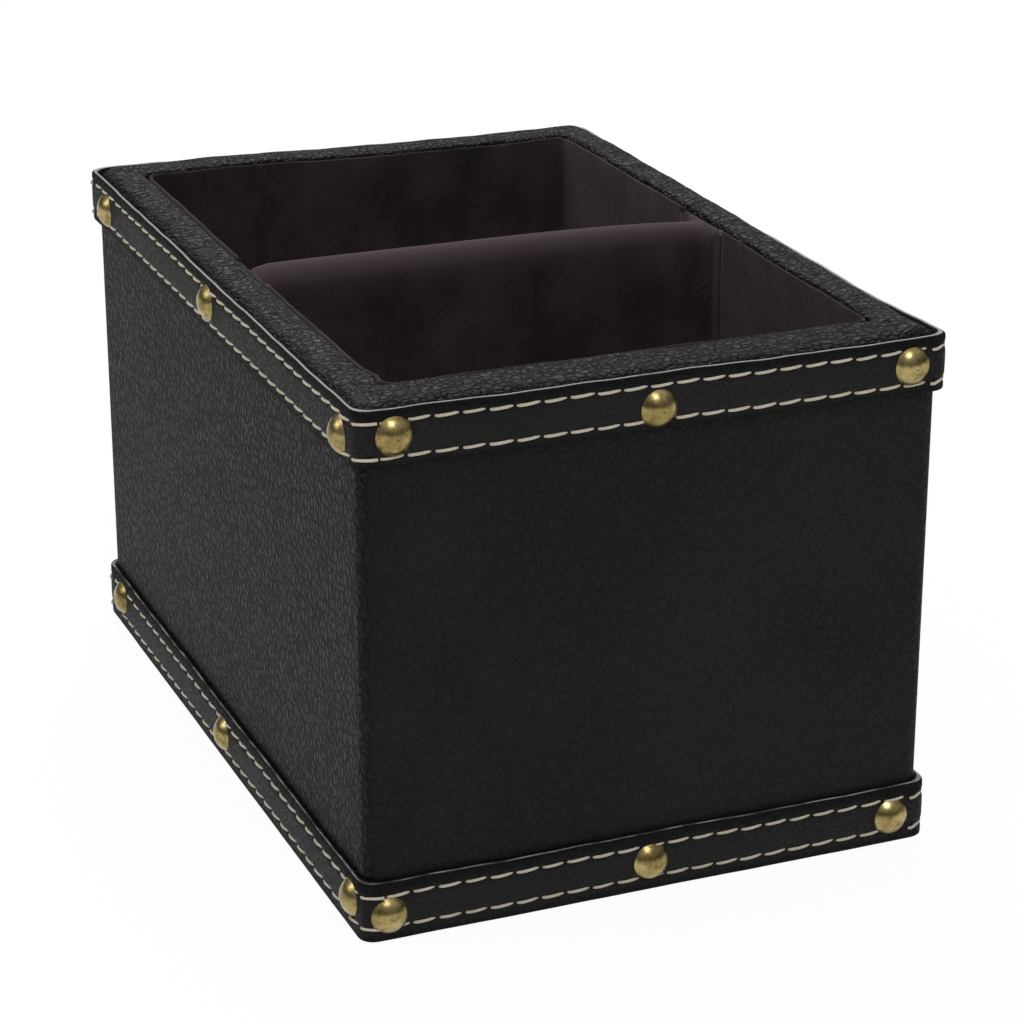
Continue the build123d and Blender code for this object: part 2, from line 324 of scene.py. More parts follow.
# Mesh helpers
def gridMesh(name, rows, materials, rowMaterial=None, closeRound=False, closeProfile=False):
    rows = np.asarray(rows, float)        # rows by stations by xyz, in metres
    rowCount, stationCount = rows.shape[:2]
    faces, indices = [], []
    for r in range(rowCount if closeProfile else rowCount - 1):
        here, above = r * stationCount, (r + 1) % rowCount * stationCount
        for k in range(stationCount if closeRound else stationCount - 1):
            after = (k + 1) % stationCount
            faces.append((here + k, here + after, above + after, above + k))
            indices.append(rowMaterial[r] if rowMaterial else 0)
    if closeProfile and not closeRound:        # flat ends of a strip
        for k, order in ((0, range(rowCount)), (stationCount - 1, range(rowCount - 1, -1, -1))):
            faces.append([r * stationCount + k for r in order])
            indices.append(0)
    mesh = bpy.data.meshes.new(name)
    mesh.from_pydata(rows.reshape(-1, 3).tolist(), [], faces)
    mesh.polygons.foreach_set("material_index", indices)
    mesh.polygons.foreach_set("use_smooth", [True] * len(faces))
    for material in materials:
        mesh.materials.append(material)
    made = bpy.data.objects.new(name, mesh)
    bpy.context.scene.collection.objects.link(made)
    return made


def setAttribute(piece, name, values):        # one value for each point
    piece.data.attributes.new(name, "FLOAT", "POINT").data.foreach_set("value", values)


def cleaned(piece):        # doubles merged and faces turned out, before a sheet gets its thickness
    apart = 0.004 * mm
    work = bmesh.new()
    work.from_mesh(piece.data)
    bmesh.ops.remove_doubles(work, verts=work.verts, dist=apart)
    bmesh.ops.recalc_face_normals(work, faces=work.faces)
    highest = max(work.faces, key=lambda face: face.calc_center_median().z)
    if highest.normal.z < 0:
        bmesh.ops.reverse_faces(work, faces=work.faces)
    work.to_mesh(piece.data)
    work.free()
    return piece


def thickened(piece, thickness):        # a sheet made a closed shell, inwards from its face
    shell = cleaned(piece).modifiers.new("thickness", "SOLIDIFY")
    shell.thickness, shell.offset = thickness, -1
    shell.use_even_offset = True
    graph = bpy.context.evaluated_depsgraph_get()
    mesh = bpy.data.meshes.new_from_object(piece.evaluated_get(graph))
    piece.modifiers.clear()
    piece.data = mesh
    return piece


# Stations round a rounded rectangle, from the middle of the back anticlockwise: points and outward normals.
# Their number goes by the box's own size, so that rings of different sizes can be joined.
def ringStations(width, depth, radius, cornerSteps, step):
    halfX, halfY = width / 2, depth / 2
    straightX, straightY = halfX - radius, halfY - radius
    nX, nY = (max(2, round(2 * half / step)) for half in (box["planX"], box["planY"]))
    points, normals = [], []

    def straight(start, end, normal, count):
        for k in range(count):
            t = k / count
            points.append((start[0] + (end[0] - start[0]) * t, start[1] + (end[1] - start[1]) * t))
            normals.append(normal)

    def corner(centre, fromAngle):
        for k in range(cornerSteps):
            a = math.radians(fromAngle + 90 * k / cornerSteps)
            normals.append((math.cos(a), math.sin(a)))
            points.append((centre[0] + radius * math.cos(a), centre[1] + radius * math.sin(a)))

    straight((0, halfY), (-straightX, halfY), (0, 1), nX // 2)
    corner((-straightX, straightY), 90)
    straight((-halfX, straightY), (-halfX, -straightY), (-1, 0), nY)
    corner((-straightX, -straightY), 180)
    straight((-straightX, -halfY), (straightX, -halfY), (0, -1), nX)
    corner((straightX, -straightY), 270)
    straight((halfX, -straightY), (halfX, straightY), (1, 0), nY)
    corner((straightX, straightY), 0)
    straight((straightX, halfY), (0, halfY), (0, 1), nX // 2)
    return np.array(points), np.array(normals)


def lifted(points, z):
    return np.column_stack([points, np.broadcast_to(z, len(points))])


def near(x, y, place, wide):        # 1 at a place, falling to 0 round it
    return np.exp(-((x - place[0]) / wide) ** 2 - ((y - place[1]) / wide) ** 2)


def waver(s, waves):        # smooth unevenness: sum of sines, each (height, length, phase)
    return sum(h * np.sin(math.tau * s / length + phase) for h, length, phase in waves)


# Where the hand-made box is out of true: smooth changes from 0 to 1, each with its start and length
slopes = {
    "awayFromLeft": (-60 * mm, 40 * mm),
    "awayFromFront": (-105 * mm, 35 * mm),
    "towardsBack": (-60 * mm, 170 * mm),
    "outOfLeftThird": (-50 * mm, 75 * mm),
    "ontoRightWall": (40 * mm, 30 * mm),
    "intoRearHalf": (-60 * mm, 80 * mm),
    "ontoBackWall": (82 * mm, 22 * mm),
}


def slope(name, place):
    start, length = slopes[name]
    t = np.clip((place - start) / length, 0, 1)
    return t * t * (3 - 2 * t)


def farSides(x, y):        # 1 along the right and back walls, 0 along the front and left
    return slope("awayFromLeft", x) * slope("awayFromFront", y)


def backLeft(x, y):        # 1 at the back left corner, 0 by the front and by the middle of the back
    return slope("towardsBack", y) * (1 - slope("outOfLeftThird", x))


def rightRear(x, y):        # 1 along the rear half of the right wall
    return slope("ontoRightWall", x) * slope("intoRearHalf", y) * (1 - slope("ontoBackWall", y))


skinLow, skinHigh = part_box("outer_wrap")
box = {
    "planX": (skinHigh.x - skinLow.x) / 2,
    "planY": (skinHigh.y - skinLow.y) / 2,
    "top": skinHigh.z,
    "skinBottom": skinLow.z,
}
skinWidth, skinDepth = 2 * box["planX"], 2 * box["planY"]


# The skin: turned under, up the walls, over the rim and down inside it
skin = {
    "thick": 0.9 * mm,
    "cornerRound": 4.0 * mm,
    "shoulderWide": 4.2 * mm,        # outer edge of the rim, across and up
    "shoulderHigh": 2.6 * mm,
    "foldOver": 1.5 * mm,        # radius of the rim's inner edge
    "sideRim": 10.5 * mm,        # from the outside of the skin to its face inside the rim
    "frontRim": 15.2 * mm,
    "backRim": 13.0 * mm,
    "foldRound": 1.5 * mm,        # in the corners of the mouth
    "turnDown": 7.0 * mm,
    "turnUnder": 12.0 * mm,
    "underRound": 1.0 * mm,
    "shoulderTighter": 0.6,        # corners of the shoulder tighten by this share of the way in
    "crown": 0.15 * mm,        # swell of the rim between its edges
    "step": 2.0 * mm,        # from station to station along the walls
    "cornerSteps": 8,
    "wallRows": 24,
    "rimRows": 8,
    "unevenness": ((0.10 * mm, 61 * mm, 0.4), (0.07 * mm, 23 * mm, 1.9), (0.04 * mm, 9.7 * mm, 0.8)),
    "crease": 0.3 * mm,        # mitre fold in each corner of the rim
    "creaseWide": 1.2 * mm,
    "creaseFrom": 0.35,        # starts this share of the rim's width in, and is full after the next
    "creaseOver": 0.5,
    "grainSides": 0.8,        # depth of the grain, as shares of the look's
    "grainEnds": 0.28,
    "grainRim": (3.0, 2.2),        # on the rim's sides and ends
    "grainBlend": 3.0 * mm,        # from one to the other, over the mitre
    "clothShare": 0.95,        # cloth in the thickness of the skin, over its glue
    "farSwell": 0.35 * mm,        # rim higher along the right and the back
    "rightSwell": 1.0 * mm,        # and more along the rear half of the right wall
    "backRise": 1.7 * mm,        # and most at the back left corner
    "swellAt": (69.0 * mm, -103.5 * mm),        # lump on the near right corner of the rim
    "swellHigh": 0.9 * mm,
    "bunchAt": (-62.0 * mm, -86.5 * mm),        # gathered fold in the near left corner
    "bunchWide": 4.2 * mm,
    "bunchHigh": 0.55 * mm,
    "bunchOut": 1.5 * mm,
}


def makeSkin():
    s, top, low = skin, box["top"], box["skinBottom"]

    def ring(inset, radius, z, front=None, back=None):
        front, back = (inset if v is None else v for v in (front, back))
        points, _ = ringStations(skinWidth - 2 * inset, skinDepth - front - back, radius,
                                 s["cornerSteps"], s["step"])
        return lifted(points + (0, (front - back) / 2), z)

    def innerRing(outwards, z):        # a ring round the mouth
        return ring(s["sideRim"] - outwards, s["foldRound"] + outwards, z, s["frontRim"] - outwards,
                    s["backRim"] - outwards)

    rows = [ring(s["turnUnder"], s["underRound"], low), ring(s["thick"], s["cornerRound"] - s["thick"], low)]
    for a in np.radians((30, 60, 90)):        # turned edge under the box
        inset = s["thick"] * (1 - math.sin(a))
        rows.append(ring(inset, s["cornerRound"] - inset, low + s["thick"] * (1 - math.cos(a))))
    wallTop = top - s["shoulderHigh"]
    for k in range(1, s["wallRows"] + 1):
        up = s["thick"] + (wallTop - low - s["thick"]) * k / s["wallRows"]
        rows.append(ring(0, s["cornerRound"], low + up))
    for a in np.radians((10, 22, 34, 46, 58, 70, 80, 90)):        # shoulder of the rim
        inset = s["shoulderWide"] * (1 - math.cos(a))
        cornerRound = s["cornerRound"] - s["shoulderTighter"] * inset
        rows.append(ring(inset, cornerRound, wallTop + s["shoulderHigh"] * math.sin(a)))
    outer, innerEdge = rows[-1], innerRing(s["foldOver"], top)
    for k in range(1, s["rimRows"] + 1):        # across the rim
        t = k / s["rimRows"]
        crossing = outer * (1 - t) + innerEdge * t
        crossing[:, 2] = top + s["crown"] * math.sin(math.pi * t)
        rows.append(crossing)
    for a in np.radians((18, 36, 54, 72, 90)):        # inner edge of the rim
        rows.append(innerRing(s["foldOver"] * (1 - math.sin(a)), top - s["foldOver"] * (1 - math.cos(a))))
    rows.append(innerRing(0, top - s["turnDown"]))
    rows = np.array(rows)
    x, y, z = rows[..., 0], rows[..., 1], rows[..., 2]
    onRim = np.clip((z - wallTop) / s["shoulderHigh"], 0, 1)
    swell = s["farSwell"] * farSides(x, y) + s["rightSwell"] * rightRear(x, y)
    swell += s["backRise"] * backLeft(x, y)
    rows[..., 2] += onRim * (waver(x + 1.7 * y, s["unevenness"]) + swell)
    fromSide, fromEnd = box["planX"] - np.abs(x), box["planY"] - np.abs(y)
    endRim = np.where(y < 0, s["frontRim"], s["backRim"])
    mitre = fromSide - fromEnd * s["sideRim"] / endRim        # 0 on the corner's diagonal
    inward = np.clip((fromSide / s["sideRim"] - s["creaseFrom"]) / s["creaseOver"], 0, 1)
    rows[..., 2] -= s["crease"] * np.exp(-(mitre / s["creaseWide"]) ** 2) * onRim * inward
    bunch = near(x, y, s["bunchAt"], s["bunchWide"]) * onRim * inward
    lump = near(x, y, s["swellAt"], s["bunchWide"]) * onRim
    rows[..., 2] += s["bunchHigh"] * bunch + s["swellHigh"] * lump
    rows[..., 0] += s["bunchOut"] * bunch
    walls = np.where(np.abs(x) > box["planX"] - s["cornerRound"] / 2, s["grainSides"], s["grainEnds"])
    rimSide, rimEnd = s["grainRim"]
    rim = rimEnd + (rimSide - rimEnd) * np.clip(0.5 - mitre / s["grainBlend"], 0, 1)
    deep = walls + (rim - walls) * onRim ** 2
    piece = gridMesh("leatherSkin", rows, [finishes["skin"]], closeRound=True)
    setAttribute(piece, "grainDeep", deep.ravel())
    thickened(piece, s["thick"] * s["clothShare"])
    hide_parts("outer_wrap")
    return piece


# The straps: puffed leather strips with a sunk channel under each row of stitches
strap = {
    "thick": 1.6 * mm,
    "edgeRound": 0.45 * mm,
    "paleRidge": 0.1 * mm,        # height of the pale upper edge, and how far its sides slope
    "innerDrop": 0.15 * mm,
    "step": 0.9 * mm,        # from station to station along the strap
    "cornerSteps": 10,
    "faceRows": 22,
    "seam": 0.4 * mm,        # gap of the butt joint in the middle of the back
    "rowsDown": {"top_band": (2.8 * mm, 11.2 * mm), "bottom_band": (3.5 * mm, 11.7 * mm)},        # stitches
    "paleEdge": {"top_band": (0.34, 0.74), "bottom_band": (0.55, 0.9)},        # shares of the thickness
    "channelDeep": 0.30 * mm,
    "channelWide": 0.75 * mm,
    "puff": 0.18 * mm,
    "holeDeep": 0.22 * mm,
    "cornerBulge": 0.8 * mm,
    "stitchPitch": 6.5 * mm,
    "farSink": {"top_band": 1.1 * mm, "bottom_band": 0},        # set lower along the right and the back
    "backRise": {"top_band": 1.0 * mm, "bottom_band": 0},        # set higher at the back left corner
    "grainSides": 4.0,        # depth of the grain on the left and right, as a share of the look's
    "edgeShadeReach": 0.75,        # painted shade reaches this share of the way from the upper edge to its stitch row, and less from the lower
    "edgeShadeLow": 0.6,
    "unevenness": ((0.12 * mm, 71 * mm, 0.9), (0.08 * mm, 31 * mm, 2.2), (0.05 * mm, 13 * mm, 0.3)),
}


def strapPath():        # stations on the face that the strap lies on, distance along, and how far each turns
    points, normals = ringStations(skinWidth, skinDepth, skin["cornerRound"],
                                   strap["cornerSteps"], strap["step"])
    points = np.vstack([points, points[:1]])
    normals = np.vstack([normals, normals[:1]])
    points[0, 0] -= strap["seam"] / 2
    points[-1, 0] += strap["seam"] / 2
    along = np.concatenate([[0], np.cumsum(np.hypot(*np.diff(points, axis=0).T))])
    turning = np.abs(normals[:, 0] * normals[:, 1]) * 2
    return points, normals, along, turning


def stitchRows(node):
    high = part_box(node)[1]
    return [high.z - down for down in strap["rowsDown"][node]]


def strapRise(node, points, along, share):        # how far a strap is out of place, at a share of its height
    x, y = points.T
    shift = strap["backRise"][node] * backLeft(x, y) - strap["farSink"][node] * farSides(x, y)
    return waver(along, strap["unevenness"]) * (0.3 + 0.7 * share) + shift


def makeStrap(node, name, edgeFinish):
    s = strap
    low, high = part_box(node)
    points, normals, along, turning = strapPath()
    rowHeights = stitchRows(node)
    thick, r, height = s["thick"], s["edgeRound"], high.z - low.z
    pitch = along[-1] / round(along[-1] / s["stitchPitch"])
    nearHole = 0.5 + 0.5 * np.cos(math.tau * along / pitch)
    turns = np.radians((0, 30, 60, 90))
    profile = [(0.0, 0.0)]        # (out, up), from the inner lower corner round the outside
    profile += [(thick - r + r * math.sin(a), r - r * math.cos(a)) for a in turns]
    profile += [(thick, r + (height - 2 * r) * k / s["faceRows"]) for k in range(1, s["faceRows"])]
    profile += [(thick - r + r * math.cos(a), height - r + r * math.sin(a)) for a in turns]
    paleIn, paleOut = (share * thick for share in s["paleEdge"][node])
    side, ridge = s["paleRidge"], height + s["paleRidge"]
    profile += [(paleOut, height), (paleOut - side, ridge), (paleIn + side, ridge), (paleIn, height)]
    profile += [(0.0, height - s["innerDrop"]), (0.0, height / 2)]
    rows, rowMaterial, edgeShade = [], [], []
    rowsUp = [z - low.z for z in rowHeights]
    # how far the painted shade reaches down from the upper edge and up from the lower
    shadeFromTop, shadeFromLow = (height - rowsUp[0]) * s["edgeShadeReach"], rowsUp[1] * s["edgeShadeReach"] * s["edgeShadeLow"]
    for out, up in profile:
        offset = np.full(len(along), out)
        z = low.z + up + strapRise(node, points, along, up / height)
        if out > thick * 0.6:
            face = math.sin(math.pi * min(max(up / height, 0), 1))
            offset += s["puff"] * face + s["cornerBulge"] * turning ** 2 * out / thick
            for rowZ in rowHeights:
                d = (low.z + up - rowZ) / s["channelWide"]
                offset -= (s["channelDeep"] + s["holeDeep"] * nearHole ** 4) * math.exp(-d * d)
        rows.append(np.column_stack([points + normals * offset[:, None], z]))
        rowMaterial.append(1 if up >= height - 1e-9 and paleIn < out <= paleOut else 0)
        # painted shade along the strap's top and bottom edges
        edgeShade.append(max(np.clip(1.6 - (height - up) / shadeFromTop, 0, 1), np.clip(1.6 - up / shadeFromLow, 0, 1)))
    piece = gridMesh(name, rows, [finishes["strap"], edgeFinish], rowMaterial, closeProfile=True)
    setAttribute(piece, "edgeShade", np.repeat(edgeShade, len(along)))
    setAttribute(piece, "grainDeep", np.tile(1 + (s["grainSides"] - 1) * np.abs(normals[:, 0]), len(rows)))
    cleaned(piece)
    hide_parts(node)
    return piece


# Topstitching, by geometry nodes along both rows of each strap
stitch = {
    "long": 5.75 * mm,
    "thread": 0.38 * mm,        # radius
    "lift": 0.16 * mm,        # middle above the line of the row, and ends below it
    "dip": 0.6 * mm,
    "sag": 0.03 * mm,        # bow across the row
    "slant": 3.2,        # degrees off the row, and how much that varies
    "turnSpread": 1.2,
    "sizes": (0.95, 1.04),        # shortest and longest, as shares of the length
    "sunk": 0.55,        # share of the channel's depth that the row lies down in it
    "cornerShare": 0.9,        # share of the strap's bulge at the corners that the row follows
    "seed": 7,
}


class Tree:        # geometry nodes, with named inputs
    def __init__(self, name, inputs):
        self.group = bpy.data.node_groups.new(name, "GeometryNodeTree")
        face = self.group.interface
        face.new_socket("Geometry", in_out="OUTPUT", socket_type="NodeSocketGeometry")
        face.new_socket("Geometry", in_out="INPUT", socket_type="NodeSocketGeometry")
        self.keys = {}
        for label, kind in inputs.items():
            self.keys[label] = face.new_socket(label, in_out="INPUT", socket_type=kind).identifier
        self.start = self.group.nodes.new("NodeGroupInput")
        self.end = self.group.nodes.new("NodeGroupOutput")

    def given(self, label):
        return self.start.outputs[label]

    def node(self, kind, settings=None, values=None, out=0):
        made = self.group.nodes.new(kind)
        for key, value in (settings or {}).items():
            setattr(made, key, value)
        for key, value in (values or {}).items():
            if isinstance(value, bpy.types.NodeSocket):
                self.group.links.new(value, made.inputs[key])
            else:
                made.inputs[key].default_value = value
        return made.outputs[out]

    def maths(self, operation, first, second):
        return self.node("ShaderNodeMath", {"operation": operation}, {0: first, 1: second})

    def finish(self, geometry, material):
        whole = self.node("GeometryNodeRealizeInstances", None, {0: geometry})
        painted = self.node("GeometryNodeSetMaterial", None, {"Geometry": whole, "Material": material})
        self.group.links.new(painted, self.end.inputs[0])

    def run(self, piece, values):
        modifier = piece.modifiers.new(self.group.name, "NODES")
        modifier.node_group = self.group
        for label, value in values.items():
            modifier[self.keys[label]] = value
        graph = bpy.context.evaluated_depsgraph_get()
        mesh = bpy.data.meshes.new_from_object(piece.evaluated_get(graph))
        piece.modifiers.clear()
        piece.data = mesh
        return piece


def stitchTree():
    sizes = ("Pitch", "Stitch Length", "Thread", "Lift", "Dip", "Sag", "Slant", "Spread")
    t = Tree("topstitching", {"Stitches": "NodeSocketInt", **dict.fromkeys(sizes, "NodeSocketFloat"),
                              "Seed": "NodeSocketInt"})
    line = t.node("GeometryNodeMeshToCurve", None, {0: t.start.outputs["Geometry"]})
    total = t.node("GeometryNodeSplineLength", None, None, "Length")
    half = t.maths("MULTIPLY", t.given("Pitch"), 0.5)
    trimmed = t.node("GeometryNodeTrimCurve", {"mode": "LENGTH"},
                     {0: line, 4: half, 5: t.maths("SUBTRACT", total, half)})
    spots = t.node("GeometryNodeResampleCurve", None, {"Curve": trimmed, "Count": t.given("Stitches")})
    tangent = t.node("GeometryNodeInputTangent")
    outward = t.node("ShaderNodeVectorMath", {"operation": "CROSS_PRODUCT"}, {0: tangent, 1: (0, 0, 1)})
    lay = t.node("FunctionNodeAlignRotationToVector", {"axis": "X"}, {"Vector": tangent})
    lay = t.node("FunctionNodeAlignRotationToVector", {"axis": "Z", "pivot_axis": "X"},
                 {0: lay, "Vector": outward})
    spread = t.given("Spread")
    wobble = t.node("FunctionNodeRandomValue", {"data_type": "FLOAT"},
                    {2: t.maths("MULTIPLY", spread, -1.0), 3: spread, "Seed": t.given("Seed")}, 1)
    slant = t.maths("ADD", t.given("Slant"), wobble)
    radians = t.node("ShaderNodeMath", {"operation": "RADIANS"}, {0: slant})
    tilt = t.node("ShaderNodeCombineXYZ", None, {"Z": radians})
    turned = t.node("FunctionNodeRotateRotation", {"rotation_space": "LOCAL"}, {0: lay, 1: tilt})
    shortest, longest = stitch["sizes"]
    size = t.node("FunctionNodeRandomValue", {"data_type": "FLOAT"},
                  {2: shortest, 3: longest, "Seed": t.maths("ADD", t.given("Seed"), 3.0)}, 1)
    halfLong = t.maths("MULTIPLY", t.given("Stitch Length"), 0.5)
    back, down = (t.maths("MULTIPLY", v, -1.0) for v in (halfLong, t.given("Dip")))
    heave = t.maths("MULTIPLY", t.given("Lift"), 2.6)
    ends = [t.node("ShaderNodeCombineXYZ", None, {"X": v, "Z": down}) for v in (back, halfLong)]
    third = t.maths("MULTIPLY", halfLong, 0.62)
    sink = t.maths("MULTIPLY", t.given("Sag"), -1.4)
    grips = [t.node("ShaderNodeCombineXYZ", None, {"X": v, "Y": sink, "Z": heave})
             for v in (t.maths("MULTIPLY", third, -1.7), third)]
    bow = t.node("GeometryNodeCurvePrimitiveBezierSegment", {"mode": "POSITION"},
                 {"Resolution": 8, "Start": ends[0], "Start Handle": grips[0],
                  "End Handle": grips[1], "End": ends[1]})
    ringCurve = t.node("GeometryNodeCurvePrimitiveCircle", None,
                       {"Resolution": 8, "Radius": t.given("Thread")})
    bow, ringCurve = (t.node("GeometryNodeStoreNamedAttribute", {"data_type": "FLOAT"},
                             {0: curve, "Name": name,
                              "Value": t.node("GeometryNodeSplineParameter", None, None, measure)})
                      for curve, name, measure in ((bow, "threadAlong", "Length"),
                                                   (ringCurve, "threadAround", "Factor")))
    thread = t.node("GeometryNodeCurveToMesh", None,
                    {"Curve": bow, "Profile Curve": ringCurve, "Fill Caps": True})
    thread = t.node("GeometryNodeSetShadeSmooth", None, {0: thread})
    sewn = t.node("GeometryNodeInstanceOnPoints", None,
                  {"Points": spots, "Instance": thread, "Rotation": turned, "Scale": size})
    t.finish(sewn, finishes["thread"])
    return t


def makeStitching(node, name, tree):
    s = strap
    points, normals, along, turning = strapPath()
    count = round(along[-1] / s["stitchPitch"])
    out = s["thick"] - s["channelDeep"] * stitch["sunk"]
    out = out + s["cornerBulge"] * turning ** 2 * stitch["cornerShare"]
    low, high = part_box(node)
    verts, edges = [], []
    for rowZ in stitchRows(node):
        z = rowZ + strapRise(node, points, along, (rowZ - low.z) / (high.z - low.z))
        start = len(verts)
        verts += np.column_stack([points + normals * out[:, None], z]).tolist()
        edges += [(start + k, start + k + 1) for k in range(len(along) - 1)]
    mesh = bpy.data.meshes.new(name)
    mesh.from_pydata(verts, edges, [])
    piece = bpy.data.objects.new(name, mesh)
    bpy.context.scene.collection.objects.link(piece)
    tree.run(piece, {"Stitches": count, "Pitch": along[-1] / count, "Stitch Length": stitch["long"],
                     "Thread": stitch["thread"], "Lift": stitch["lift"], "Dip": stitch["dip"],
                     "Sag": stitch["sag"], "Slant": stitch["slant"], "Spread": stitch["turnSpread"],
                     "Seed": stitch["seed"]})
    return piece


# Velvet: padded cards that line the outer walls, and the cover of the divider with its flared ends
velvet = {
    "inset": 1.0 * mm,        # face of the lining inside the face of the turned-down skin
    "cornerRound": 3.0 * mm,        # in the corners of the box, and beside the divider
    "flare": 4.0 * mm,
    "flap": 4.0 * mm,
    "overlap": 2.0 * mm,        # of the flaps over the linings, standing proud of them
    "proud": 0.15 * mm,
    "crestHalf": 4.8 * mm,
    "thick": 0.7 * mm,
    "cardThick": 0.8 * mm,
    "drop": 0.35 * mm,        # top of the lining below the rim
    "foot": 0.95 * mm,        # lining closes on the floor card at its foot, over this height
    "footHigh": 22 * mm,
    "step": 3.0 * mm,
    "wallRows": 18,
    "rollRows": 7,
    "cornerSteps": 10,
    "flareSteps": 12,
    "flapSteps": 4,
    "topUneven": 0.6,        # of the unevenness of the walls
    "bunchDown": 12 * mm,        # the skin's gathered fold presses on the lining this far down
    "rise": 1.4 * mm,        # crest of the divider above the rim, at its highest
    "highest": -15 * mm,
    "levelTo": 75 * mm,
    "crestEnd": 5.0 * mm,        # crest comes down over this length at each wall
    "lean": 1.3 * mm,        # crest further back at its left end
    "leanFrom": 4.0 * mm,        # only where the roll is this wide
    "seamApart": 0.02 * mm,        # points of the cover's two halves that are one
    "unevenness": ((0.16 * mm, 47 * mm, 0.2), (0.10 * mm, 19 * mm, 1.2), (0.06 * mm, 8.3 * mm, 2.6)),
}
velvetX = box["planX"] - skin["sideRim"] - velvet["inset"]
velvetFront = skin["frontRim"] + velvet["inset"] - box["planY"]
velvetBack = box["planY"] - skin["backRim"] - velvet["inset"]
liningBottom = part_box("front_bay_lining")[0].z


def wallRows(face, out, bottom, top, along):        # up a wall, gently uneven
    rows = []
    for k in range(velvet["wallRows"] + 1):
        t = k / velvet["wallRows"]
        z = bottom + (top - bottom) * t
        push = waver(along + 0.8 * z, velvet["unevenness"]) * math.sin(math.pi * t)
        rows.append(np.column_stack([face + out * push[:, None], z]))
    return rows


def arcPoints(centre, radius, fromAngle, count):        # a quarter turn, with the way in to its centre
    angles = np.radians(fromAngle + 90 * np.arange(count) / count)
    ways = np.column_stack([np.cos(angles), np.sin(angles)])
    return (centre + ways * radius).tolist(), (-ways).tolist()


def liningPath(side):        # round the three outer walls of a bay, from the flap on the right
    r, far = velvet["cornerRound"], abs(velvetFront) if side < 0 else velvetBack
    start = velvet["crestHalf"] + velvet["flare"] + velvet["flap"] - velvet["overlap"]
    corners = [arcPoints((x, far - r), r, angle, velvet["cornerSteps"])
               for x, angle in ((velvetX - r, 0), (r - velvetX, 90))]
    points, outs = [], []

    def run(start, end, out):
        count = max(2, round(math.dist(start, end) / velvet["step"]))
        for t in np.arange(count) / count:
            points.append([a + (b - a) * t for a, b in zip(start, end)])
            outs.append(out)

    run((velvetX, start), (velvetX, far - r), (-1, 0))
    points, outs = points + corners[0][0], outs + corners[0][1]
    run((velvetX - r, far), (r - velvetX, far), (0, -1))
    points, outs = points + corners[1][0], outs + corners[1][1]
    run((-velvetX, far - r), (-velvetX, start), (1, 0))
    points.append((-velvetX, start))
    outs.append((1, 0))
    return np.array(points) * (1, side), np.array(outs) * (1, side)


def makeLining(side, node, name):
    face, out = liningPath(side)
    along = np.arange(len(face)) * velvet["step"]
    r = velvet["cardThick"] / 2
    rise = skin["backRise"] * backLeft(*face.T) + skin["rightSwell"] * rightRear(*face.T)
    top = box["top"] - velvet["drop"] - r + rise
    top += waver(along, velvet["unevenness"]) * velvet["topUneven"]
    rows = wallRows(face, out, liningBottom, top, along)
    rolls = velvet["rollRows"]
    for a in np.radians(180 * np.arange(1, rolls + 1) / rolls):        # over the top of the card
        rows.append(np.column_stack([face - out * r * (1 - math.cos(a)), top + r * math.sin(a)]))
    rows.append(np.column_stack([face - out * 2 * r, np.full(len(face), liningBottom)]))
    rows = np.array(rows)
    nearFoot = np.clip(1 - (rows[:-1, :, 2] - liningBottom) / velvet["footHigh"], 0, 1) ** 2
    rows[:-1, :, :2] += out * (velvet["foot"] * nearFoot)[..., None]        # the back of the card stays flat
    nearTop = np.clip((rows[..., 2] - box["top"]) / velvet["bunchDown"] + 1, 0, 1)
    bunch = near(rows[..., 0], rows[..., 1], skin["bunchAt"], skin["bunchWide"])
    rows[..., 0] += skin["bunchOut"] * bunch * nearTop
    piece = cleaned(gridMesh(name, rows, [finishes["velvet"]], closeProfile=True))
    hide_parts(node)
    return piece


def coverPath(side):        # one face of the divider, flap to flap, with the line that its crest runs to
    halfX, r, half = velvetX, velvet["flare"], velvet["crestHalf"]
    start, wall = half + r + velvet["flap"], velvetX + velvet["inset"]
    flapSteps, flareSteps = velvet["flapSteps"], velvet["flareSteps"]
    face, spine, out = [], [], []
    for k in range(flapSteps):
        y = start - (start - half - r) * k / flapSteps
        face.append((halfX, y))
        spine.append((wall, y))
        out.append((-1, 0))
    for k in range(flareSteps + 1):
        a = math.radians(90 * k / flareSteps)
        face.append((halfX - r + r * math.cos(a), half + r - r * math.sin(a)))
        out.append((-math.cos(a), math.sin(a)))
        t = 2 * k / flareSteps
        spine.append((wall, (half + r) * (1 - t)) if t < 1 else (wall - (wall - halfX + r) * (t - 1), 0))
    count = round(2 * (halfX - r) / velvet["step"])
    for k in range(1, count // 2 + 1):
        x = (halfX - r) * (1 - 2 * k / count)
        face.append((x, half))
        spine.append((x, 0))
        out.append((0, 1))
    face, spine, out = (np.array(v, float) for v in (face, spine, out))
    proud = np.full((len(face), 1), velvet["proud"])
    proud[0] = 0.1 * velvet["proud"]
    face += out * proud
    whole = [np.vstack([v, v[-2::-1] * (-1, 1)]) for v in (face, spine, out)]
    return [v * (1, side) for v in whole]


def crestHeight(x, y):        # highest left of the middle, and down to the linings at both walls
    v = velvet
    level = np.clip(1 - ((x - v["highest"]) / v["levelTo"]) ** 4, 0, 1)
    fromWall = np.clip((velvetX + v["inset"] - np.abs(x)) / v["crestEnd"], 0, 1)
    inside = np.clip(1 - np.abs(y) / (v["crestHalf"] + v["flare"]), 0, 1)
    return box["top"] - v["drop"] + (v["rise"] + v["drop"]) * level * np.sqrt(fromWall) * inside ** 0.3


